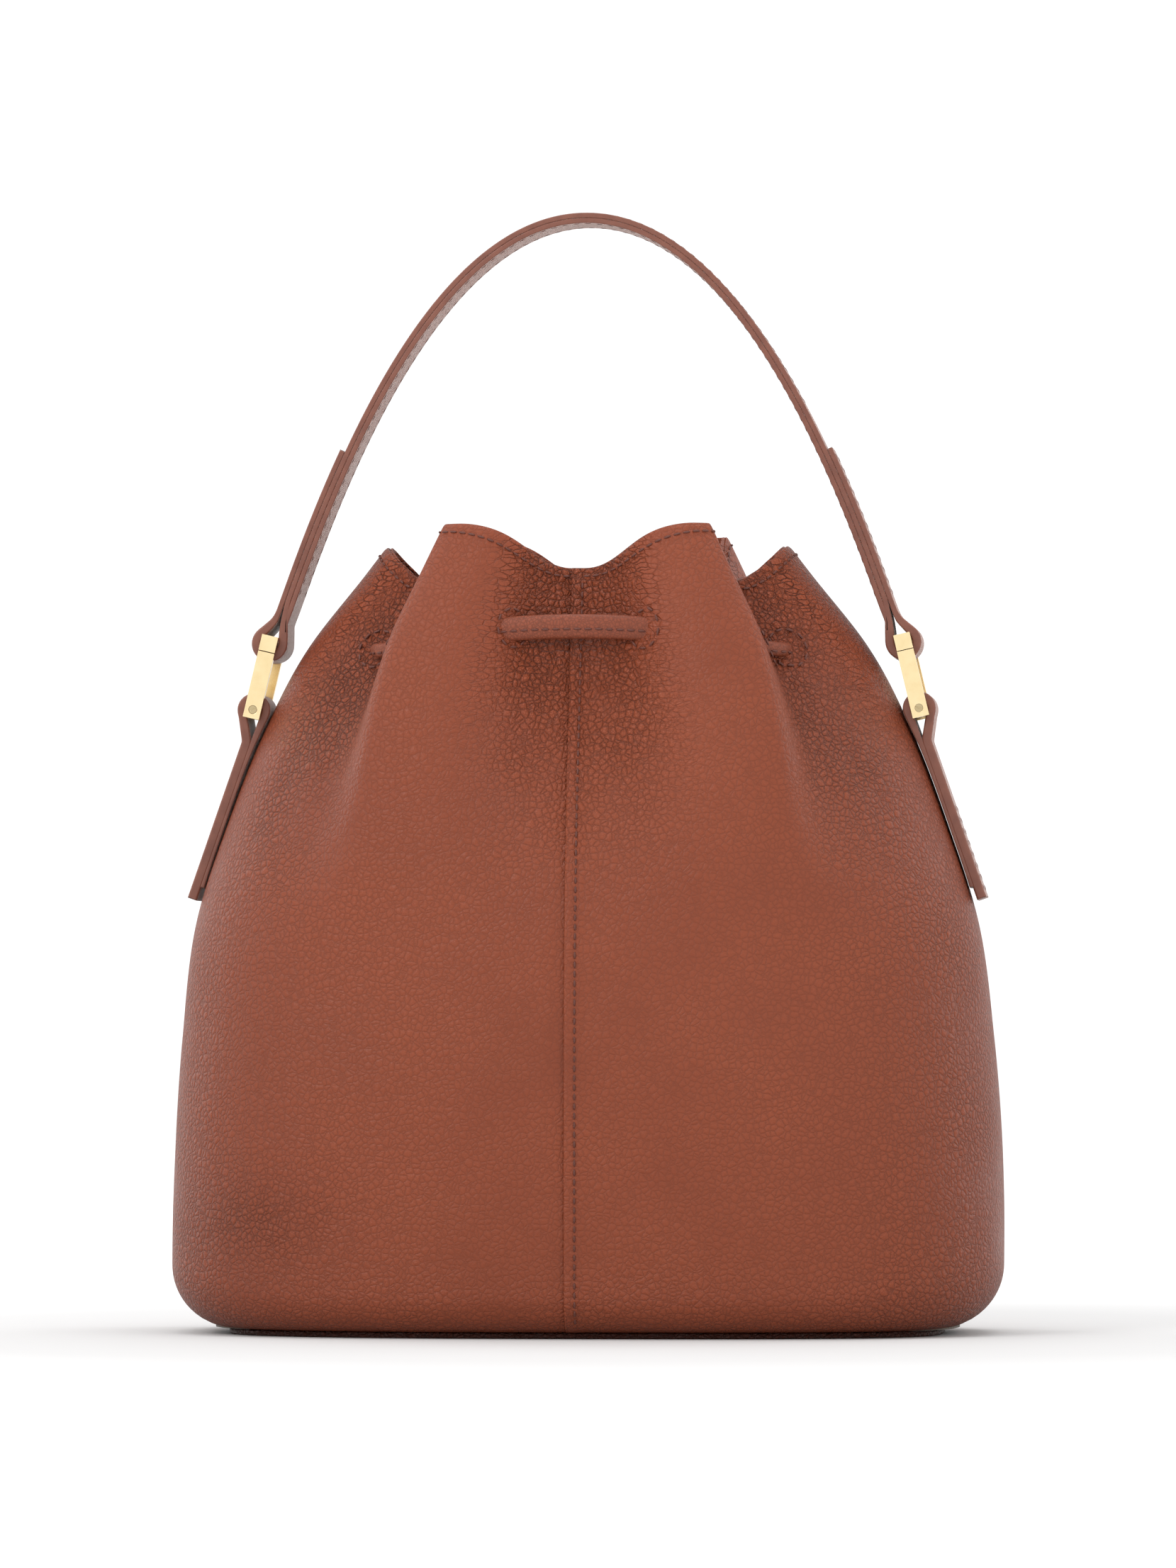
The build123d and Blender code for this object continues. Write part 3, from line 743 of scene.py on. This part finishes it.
# ---- Drawcord route ----
def nurbs_points(name, route, resolution=14):
    """Points along a smooth line that has the route as its control points, in millimetres."""
    curve = bpy.data.curves.new(name, "CURVE")
    curve.dimensions = "3D"
    curve.resolution_u = resolution
    spline = curve.splines.new("NURBS")
    spline.points.add(len(route) - 1)
    for point, place in zip(spline.points, route):
        point.co = (*(c * MM for c in place), 1)
    spline.order_u = 3
    spline.use_endpoint_u = True
    holder = linked(name, curve)
    mesh = bpy.data.meshes.new_from_object(holder.evaluated_get(bpy.context.evaluated_depsgraph_get()))
    points = np.array([v.co for v in mesh.vertices]) / MM
    bpy.data.objects.remove(holder)
    return points


def middle_eyelet_angle():
    def before(angle):
        return flat_wall(angle, MIDDLE_EYELET[1], LEATHER)[0] > MIDDLE_EYELET[0]
    return turning_place(radians(CREST[0]), pi / 2, before)


def flat_wall(angle, z, inset):
    """A wall point without the small creases."""
    points = wall_points(angle, z, inset)
    n = wall_normal(angle, z)
    return points - n * creases(angle, z)[..., None] if np.ndim(angle) else points - n * creases(angle, z)


def eyelet_route():
    near, far = (radians(a) for a in SIDE_EYELET_ANGLES)
    quarter = [(middle_eyelet_angle(), MIDDLE_EYELET[1]), (far, SIDE_EYELET_Z), (near, SIDE_EYELET_Z)]
    right = quarter + [(-a, z) for a, z in reversed(quarter)]
    left = [(pi - a, z) for a, z in reversed(right)]
    return right + left


EYELETS = eyelet_route()
ring = [flat_wall(a, z, LEATHER) for a, z in EYELETS]
exits = []
for last, turn in ((ring[0], RIGHT_TAIL[0]), (ring[-1], LEFT_TAIL[0])):
    toward = np.array(turn) - last
    exits.append(last + toward / np.linalg.norm(toward) * EXIT_RUN)
threaded = nurbs_points("threaded_route", [exits[0]] + ring + [exits[1]])


def wall_gap(points):
    """How far points lie outside the wall's middle, with the nearest wall point and its normal."""
    angle, z = np.meshgrid(np.linspace(-pi, pi, 1440, endpoint=False), np.linspace(222, 241, 39))
    angle, z = angle.ravel(), z.ravel()
    places, normals = wall_points(angle, z, 1.3), wall_normal(angle, z)
    index = nearest_of(places, points)
    gap = ((points - places[index]) * normals[index]).sum(1)
    return gap, places[index], normals[index]


gap, near_place, near_normal = wall_gap(threaded)
crossings = []
for i in range(len(gap) - 1):
    if gap[i] * gap[i + 1] < 0 and (not crossings or i - crossings[-1] > 3):
        crossings.append(i)
HOLES = [(near_place[i], near_normal[i], threaded[i + 1] - threaded[i]) for i in crossings]


def is_slot(place):
    """The eyelets at the middle are upright slots, and the others are round."""
    return abs(place[0]) < 40


def hole_cutter():
    """The eyelet holes as one mesh: round at the sides, upright slots at the middle."""
    bm = bmesh.new()
    for place, normal, _ in HOLES:
        size = (4.3, 2.9) if is_slot(place) else (4.3, 4.3)
        n = Vector(normal)
        across = Vector((0, 0, 1)).cross(n).normalized()
        turn = Matrix((n.cross(across), across, n)).transposed().to_4x4()
        shape = Matrix.Diagonal((size[0] * MM, size[1] * MM, 7.5 * MM, 1))
        bmesh.ops.create_cone(bm, cap_ends=True, segments=32, radius1=1, radius2=1, depth=2,
                              matrix=Matrix.Translation(Vector(place) * MM) @ turn @ shape)
    mesh = bpy.data.meshes.new("eyelet_cutter")
    bm.to_mesh(mesh)
    bm.free()
    return linked("eyelet_cutter", mesh)


CUTTER = hole_cutter()

for name, right in (("body_panel_right", True), ("body_panel_left", False)):
    made = panel(name + "_leather", right)
    modify(made, "BOOLEAN", operation="DIFFERENCE", object=CUTTER, solver="EXACT")
    shade_smooth(made.data)
    mark_creases(made)
    finish_piece(made, BODY, "bag", "body_leather", name)


# ---- Inside: facing, lining, patches ----
def facing_band():
    angles = even_angles(-pi, pi, 361)[:-1]
    rows, half_v = round_edge(40, True, True)

    def place(u, v, inset):
        z = FACING_LOW + (rim_height(u) - 0.1 - FACING_LOW) * v
        return wall_points(u, z, LEATHER + PLY_GAP + inset)
    made = leather_sheet("mouth_facing_leather", place, angles, rows, np.ones(len(angles)), half_v,
                         FACING, True)
    modify(made, "BOOLEAN", operation="DIFFERENCE", object=CUTTER, solver="EXACT")
    shade_smooth(made.data)
    mark_creases(made)
    return finish_piece(made, BODY, "bag", "body_leather", "mouth_facing")


def lining_cloth():
    """The lining's wall: one sheet of cloth, sewn up at the facing, that bulges a little."""
    angles = even_angles(-pi, pi, 241)[:-1]
    foot = FLOOR_GAP + 2.85
    heights = np.r_[[foot] * 3, np.linspace(foot, FACING_LOW + 1.5, 90)]
    turned_in = np.r_[9.0, 6.0, 3.0, np.zeros(90)]
    a, z = np.meshgrid(angles, heights, indexing="ij")
    slack = 1.0 + 0.7 * np.sin(a * 17 + z * 0.03) * np.sin(z * 0.05 + a * 2)
    points = wall_points(a, z, LEATHER + 2 * PLY_GAP + FACING + 0.2 + np.clip(slack, 0, 2) + turned_in)
    rows, count = len(heights), len(angles)
    faces = [(i * rows + k, (i + 1) % count * rows + k, (i + 1) % count * rows + k + 1, i * rows + k + 1)
             for i in range(count) for k in range(rows - 1)]
    made = new_mesh("lining_cloth", points.reshape(-1, 3) * MM, faces)
    finish_piece(made, CLOTH, "bag", "lining", "lining_wall")
    return made


facing_band()
lining_cloth()
bpy.data.objects.remove(CUTTER)

for node, mat, slot, edge in (("lining_floor", CLOTH, "lining", 0.2), ("base_board", BOARD, "board", 0.3),
                              ("tab_patch_left", STRAP_LEATHER, "strap_leather", 0.3),
                              ("tab_patch_right", STRAP_LEATHER, "strap_leather", 0.3)):
    finish_piece(detailed_copy(node, edge), mat, "bag", slot, node)


def base_plate():
    """The base leather: a plate with a rounded rim that shows as a dark edge under the walls, its dark
    colour partly painted shade.
    """
    angles = even_angles(-pi, pi, 241, 60.0)[:-1]
    # Each ring of the plate: how far it lies inside the wall's foot, and its height
    profile = [(4.0, 0.0), (0.4, 0.0), (-0.9, 0.0), (-1.3, 0.5), (-1.3, 1.4), (-0.8, 2.05), (3.0, 2.1)]
    loops = []
    for inset, height in profile:
        edge = wall_points(angles, FLOOR_GAP, inset)
        loops.append(np.c_[edge[:, :2], np.full(len(angles), height)])
    faces = tube_faces(len(loops), len(angles))
    made = merged(new_mesh("base_panel_leather", np.concatenate(loops) * MM, faces))
    modify(made, "WEIGHTED_NORMAL", weight=50)
    return finish_piece(made, BASE_WITH_PAINTED_SHADE, "bag", "base_leather", "base_panel")


base_plate()

# ---- Drawcord, its ends and slider ----
share = np.abs(np.linspace(-1, 1, len(threaded)))
rounded = smooth((share - FLAT_SHARE) / FLAT_FADE)
cord_wide = CORD_WIDE + (TAIL_WIDE - CORD_WIDE) * rounded
cord_thick = CORD_THICK + (TAIL_THICK - CORD_THICK) * rounded
cord = flat_tube("drawcord_rolled", threaded, cord_wide, cord_thick, np.array((0, 0, 1.0)))
finish_piece(cord, CORD, "bag", "cord_leather", "drawcord")

for side, start, rest in (("right", exits[0], RIGHT_TAIL), ("left", exits[1], LEFT_TAIL)):
    route = nurbs_points("tail_route", [start] + rest, 20)
    tail = flat_tube(f"drawcord_tail_{side}_rolled", route, TAIL_WIDE, TAIL_THICK, np.array((1.0, 0, 0.0)),
                     square=2.0)
    finish_piece(tail, CORD, "bag", "cord_leather", f"drawcord_tail_{side}")
    tip = detailed_copy(f"cord_end_{side}", 0.2, 60)
    finish_piece(tip, CORD, "bag", "cord_leather", f"cord_end_{side}")
    run = float(np.linalg.norm(np.diff(route, axis=0), axis=1).sum()) * MM

slider = detailed_copy("cord_slider", 0.2, 60)
finish_piece(slider, STRAP_LEATHER, "slider", "strap_leather", "cord_slider")


# ---- Handle ----
def arch_point(u, out):
    """A point beside the right half of the arch: u is 0 at its foot and 1 at its top."""
    p0 = ARCH_FOOT
    p1 = p0 + np.array((-sin(ARCH_LEAN), cos(ARCH_LEAN))) * ARCH_PULL[0]
    p3 = np.array((0, ARCH_TOP))
    p2 = p3 + np.array((ARCH_PULL[1], 0))
    v = 1 - u
    place = p0 * v**3 + p1 * (3 * v * v * u) + p2 * (3 * v * u * u) + p3 * u**3
    along = (p1 - p0) * (v * v) + (p2 - p1) * (2 * v * u) + (p3 - p2) * (u * u)
    along = along / np.linalg.norm(along)
    return place + np.array((along[1], -along[0])) * out


def fold_back_end():
    """How far up the arch the folded-back end of the outer ply reaches."""
    return turning_place(0.0, 1.0, lambda u: arch_point(u, STRAP / 2)[1] < FOLD_BACK_TOP)


def handle_outer_path():
    """Middle line and thickness of the outer ply, from one folded-back end to the other."""
    rows = []
    for u in np.linspace(fold_back_end(), 0.03, 30):
        rows.append((*arch_point(u, STRAP / 2 + FOLD_BACK / 2), FOLD_BACK))
    # From the fold-back into the loop, round the clip's upper bar, and out into the arch
    rows += [(103.8, 241.6, FOLD_BACK), (105.1, 239.0, 2.4)]
    for degrees_round in np.linspace(60, -185, 44):
        a = radians(degrees_round)
        rows.append((TOP_BAR[0] + LOOP_MID * cos(a), TOP_BAR[1] + LOOP_MID * sin(a), LOOP_THICK))
    rows += [(102.0, 235.5, 3.0), (101.7, 239.0, 2.4)]
    for u in np.linspace(0.035, 1, 90):
        rows.append((*arch_point(u, STRAP / 4), STRAP / 2 + 0.02))
    right = np.array(rows)
    left = right[:-1][::-1] * np.array((-1, 1, 1))
    return np.concatenate([right, left])


def relaxed(rows, step, loops):
    """Even steps along a path, with its corners and changes of thickness eased."""
    run = run_along(rows[:, :2])
    even = np.linspace(0, run[-1], int(run[-1] / step))
    rows = np.stack([np.interp(even, run, rows[:, k]) for k in range(3)], 1)
    for _ in range(loops):
        rows[1:-1] = rows[1:-1] * 0.5 + (rows[:-2] + rows[2:]) * 0.25
    return rows


rows = relaxed(handle_outer_path(), 0.5, 5)
handle = strap_sweep("handle_strap_leather", rows[:, :2], rows[:, 2])
finish_piece(handle, STRAP_LEATHER, "handle", "strap_leather", "handle_strap")
ply = [(101.3, 235.2, 0.5), (101.0, 238.5, 1.2)]
ply += [(*arch_point(u, -STRAP / 4), STRAP / 2) for u in np.linspace(0.02, 1, 120)]
ply = np.array(ply + [(-x, z, t) for x, z, t in reversed(ply[:-1])])
ply = relaxed(ply, 0.6, 3)
inner = strap_sweep("handle_lining_leather", ply[:, :2], ply[:, 2])
finish_piece(inner, STRAP_LEATHER, "handle", "strap_leather", "handle_lining")


# ---- Tabs ----
def tab_point(u, inset):
    """A point of the right tab at a share of its outer face's length, inset from that face."""
    low, high = TAB_FACE
    along = (high - low) / np.linalg.norm(high - low)
    return low + (high - low) * u + np.array((-along[1], along[0])) * inset


def tab_outer_ply(shares):
    return [(*tab_point(u, TAB_PLY / 2), TAB_PLY) for u in shares]


def tab_path():
    """Middle line and thickness of the right tab: up its outer face, round the screw bar, down inside."""
    rows = tab_outer_ply(np.linspace(0, 0.98, 30))
    for degrees_round in np.linspace(-25, 205, 36):
        a = radians(degrees_round)
        rows.append((SCREW_BAR[0] + TAB_LOOP_MID * cos(a), SCREW_BAR[1] + TAB_LOOP_MID * sin(a),
                     TAB_LOOP_THICK))
    for u in np.linspace(0.95, 0.06, 30):
        z = tab_point(u, 0)[1]
        skin = wall_points(0.0, z, 0)[0]
        outer_face = tab_point(u, TAB_PLY)[0]
        middle = (skin + 0.5 + outer_face) / 2
        rows.append((middle, z, min(1.5 + 1.2 * u, max(0.6, outer_face - skin - 0.5))))
    return np.array(rows)


rows = relaxed(tab_path(), 0.5, 4)
for side, mirror_x in (("right", 1), ("left", -1)):
    path = rows[:, :2] * np.array((mirror_x, 1))
    tab = strap_sweep(f"tab_{side}_leather", path, rows[:, 2])
    finish_piece(tab, STRAP_LEATHER, None, "strap_leather", f"tab_{side}", f"tab_loop_{side}")
    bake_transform(tab)

# ---- Clips ----
for side in ("left", "right"):
    for node, body, edge in ((f"clip_frame_{side}", f"clip_{side}", 0.35),
                             (f"clip_gate_{side}", f"gate_{side}", 0.35),
                             (f"clip_screw_{side}", f"clip_{side}", 0.12)):
        metal = SCREW_GOLD if "screw" in node else GOLD
        finish_piece(detailed_copy(node, edge, 40), metal, body, "clip_metal", node)


# ---- Stitching ----
def along_wall(angle, z, lift=0.0):
    place = wall_points(angle, z, -lift)
    return place, wall_normal(angle, z)


def stitched_line(name, angles, heights, pitch, long, lift, body="bag"):
    """Stitches at an even pitch along a line on the wall."""
    fine_z = np.interp(np.linspace(0, 1, 3000), np.linspace(0, 1, len(heights)), heights)
    fine_a = np.interp(np.linspace(0, 1, 3000), np.linspace(0, 1, len(angles)), angles)
    line = wall_points(fine_a, fine_z, 0)
    run = run_along(line)
    at = np.arange(pitch / 2, run[-1], pitch)
    a, z = np.interp(at, run, fine_a), np.interp(at, run, fine_z)
    places, normals = along_wall(a, z, lift)
    ahead = wall_points(np.interp(at + 0.5, run, fine_a), np.interp(at + 0.5, run, fine_z), 0)
    behind = wall_points(np.interp(at - 0.5, run, fine_a), np.interp(at - 0.5, run, fine_z), 0)
    made = stitches(name, places, ahead - behind, normals, long)
    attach(made, body)
    return made


turn = np.linspace(-pi, pi, 1500)
stitched_line("rim_stitches", turn, rim_height(turn) - 2.8, 3.3, 2.6, 0.0)
for name, side in (("back", -1), ("front", 1)):
    heights = np.linspace(5, 251.5, 60)
    angles = seam_angle(SEAM_X + 3.6, heights, side)
    stitched_line(f"{name}_seam_stitches", angles, heights, 3.1, 2.4, SEAM_RISE * 0.48)

places, directions = [], []
for place, normal, _ in HOLES:
    n = Vector(normal)
    across = Vector((0, 0, 1)).cross(n).normalized()
    up = n.cross(across)
    slot = is_slot(place)
    radii = (6.6, 5.0) if slot else (7.0, 6.8)
    count = 9 if slot else 11
    for i in range(count):
        a = 2 * pi * (i + 0.5) / count
        spot = Vector(place) + n * 1.25 + up * radii[0] * cos(a) + across * radii[1] * sin(a)
        places.append(spot)
        directions.append(across * radii[1] * cos(a) - up * radii[0] * sin(a))
_, near_place, near_normal = wall_gap(np.array(places))
places = [Vector(p + n * 1.35) for p, n in zip(near_place, near_normal)]
eyelet_thread = stitches("eyelet_stitches", places, directions, near_normal, 2.7)
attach(eyelet_thread, "bag")

# The cord's own seam runs just below its middle on its outer face
_, side, _ = frames_along(threaded, np.array((0, 0, 1.0)))
run = run_along(threaded)
at = np.arange(2, run[-1] - 2, 3.5)
centre = np.array([threaded.mean(0)[0], threaded.mean(0)[1], 0])
spots, ways, faces_out = [], [], []
for distance in at:
    point = np.array([np.interp(distance, run, threaded[:, k]) for k in range(3)])
    out = np.array([np.interp(distance, run, side[:, k]) for k in range(3)])
    out = out * np.sign((out * (point - centre))[:2].sum())
    way = np.array([np.interp(distance + 1, run, threaded[:, k]) for k in range(3)]) - point
    half = np.interp(distance, run, cord_thick) / 2
    spots.append(point + out * (half - 0.05) + np.array((0, 0, -0.9)))
    ways.append(way)
    faces_out.append(out)
cord_thread = stitches("drawcord_stitches", spots, ways, faces_out, 2.7)
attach(cord_thread, "bag")


def strap_stitches(name, rows, from_share, to_share, outward, body,
                   inset=2.2, pitch=4.0):
    """Two lines of stitches near a strap's edges, on one of its broad faces."""
    run = run_along(rows[:, :2])
    at = np.arange(run[-1] * from_share, run[-1] * to_share, pitch)
    spots, ways, outs = [], [], []
    for distance in at:
        x, z, t = (np.interp(distance, run, rows[:, k]) for k in range(3))
        x1, z1 = (np.interp(distance + 0.5, run, rows[:, k]) for k in range(2))
        way = np.array((x1 - x, z1 - z))
        way /= np.linalg.norm(way)
        n = np.array((way[1], -way[0])) * outward
        for y in (STRAP_HALF - inset, inset - STRAP_HALF):
            spots.append((x + n[0] * (t / 2 - 0.34), y, z + n[1] * (t / 2 - 0.34)))
            ways.append((way[0], 0, way[1]))
            outs.append((n[0], 0, n[1]))
    made = stitches(name, spots, ways, outs, 2.8)
    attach(made, body)
    return made


arch_rows = np.array([(*arch_point(u, 0), STRAP) for u in np.linspace(0.0, 1, 200)])
arch_rows = np.concatenate([arch_rows, arch_rows[:-1][::-1] * np.array((-1, 1, 1))])
strap_stitches("handle_top_stitches", arch_rows, 0.22, 0.78, 1, "handle")
strap_stitches("handle_under_stitches", arch_rows, 0.02, 0.98, -1, "handle")
back_rows = np.array([(*arch_point(u, STRAP / 2 + FOLD_BACK / 2), FOLD_BACK)
                      for u in np.linspace(0.05, fold_back_end(), 60)])
tab_rows = np.array(tab_outer_ply(np.linspace(0, 1, 40)))
for side, mirror_x in (("right", 1), ("left", -1)):
    flip = np.array((mirror_x, 1, 1))
    strap_stitches(f"fold_back_{side}_stitches", back_rows * flip, 0.03, 0.97, mirror_x, "handle")
    strap_stitches(f"tab_{side}_stitches", tab_rows * flip, 0.06, 0.6, mirror_x, "bag")

# ---- Floor, light and camera ----
VIEW_WIDE = 0.3957         # the picture's width at the bag, in metres
DISTANCE = 3.0
YAW = radians(4.6)
AIM = Vector((0.0, 0.0, 0.1842))
EYE_HEIGHT = 0.11


def studio():
    """A wide pale floor, darker towards the middle as a painted shadow round the bag."""
    half = 60.0
    corners = [(-half, -half, 0), (half, -half, 0), (half, half, 0), (-half, half, 0)]
    floor = new_mesh("floor", corners, [(0, 1, 2, 3)])
    made, nodes, links, shader = material("floor_with_painted_shadow")
    where = nodes.new("ShaderNodeTexCoord").outputs["Object"]
    away = add(nodes, "ShaderNodeVectorMath", operation="LENGTH")
    links.new(where, away.inputs[0])
    # Painted shadow: the floor is darker near the middle, where the bag stands, and pale further out.
    tone = ramp(nodes, [(0.25, grey(0.6)), (1.0, grey(0.96))])
    links.new(away.outputs["Value"], tone.inputs[0])
    links.new(tone.outputs[0], shader.inputs["Base Color"])
    shader.inputs["Roughness"].default_value = 0.9
    shader.inputs["Specular IOR Level"].default_value = 0.2
    floor.data.materials.append(made)


def area_light(name, place, aim, size, power):
    light = bpy.data.lights.new(name, "AREA")
    light.shape = "RECTANGLE"
    light.size, light.size_y = size
    light.energy = power
    lamp = linked(name, light)
    lamp.location = place
    lamp.rotation_euler = (Vector(aim) - Vector(place)).to_track_quat("-Z", "Y").to_euler()


studio()
area_light("key", (-1.5, -2.0, 1.9), (0, 0, 0.15), (1.2, 1.2), 28)
area_light("fill", (1.8, -2.0, 1.0), (0, 0, 0.15), (1.6, 1.6), 6)
area_light("top", (0.0, 0.1, 2.2), (0, 0, 0.1), (1.8, 1.2), 16)
area_light("rim_left", (-1.3, 0.9, 0.8), (0, 0, 0.2), (0.7, 1.4), 5)
area_light("rim_right", (1.3, 0.9, 0.8), (0, 0, 0.2), (0.7, 1.4), 5)
bpy.context.scene.view_settings.view_transform = "Standard"
world = bpy.data.worlds.new("studio")
bpy.context.scene.world = world
world.use_nodes = True
world.node_tree.nodes["Background"].inputs[0].default_value = (1, 1, 1, 1)
world.node_tree.nodes["Background"].inputs[1].default_value = 1.1

camera_data = bpy.data.cameras.new("camera")
camera_data.sensor_fit = "HORIZONTAL"
camera_data.sensor_width = 36.0
camera_data.lens = 36.0 * DISTANCE / VIEW_WIDE
camera_data.clip_end = 30.0
camera = linked("camera", camera_data)
camera.location = (DISTANCE * sin(YAW), -DISTANCE * cos(YAW), EYE_HEIGHT)
camera.rotation_euler = (AIM - camera.location).to_track_quat("-Z", "Y").to_euler()
bpy.context.scene.camera = camera
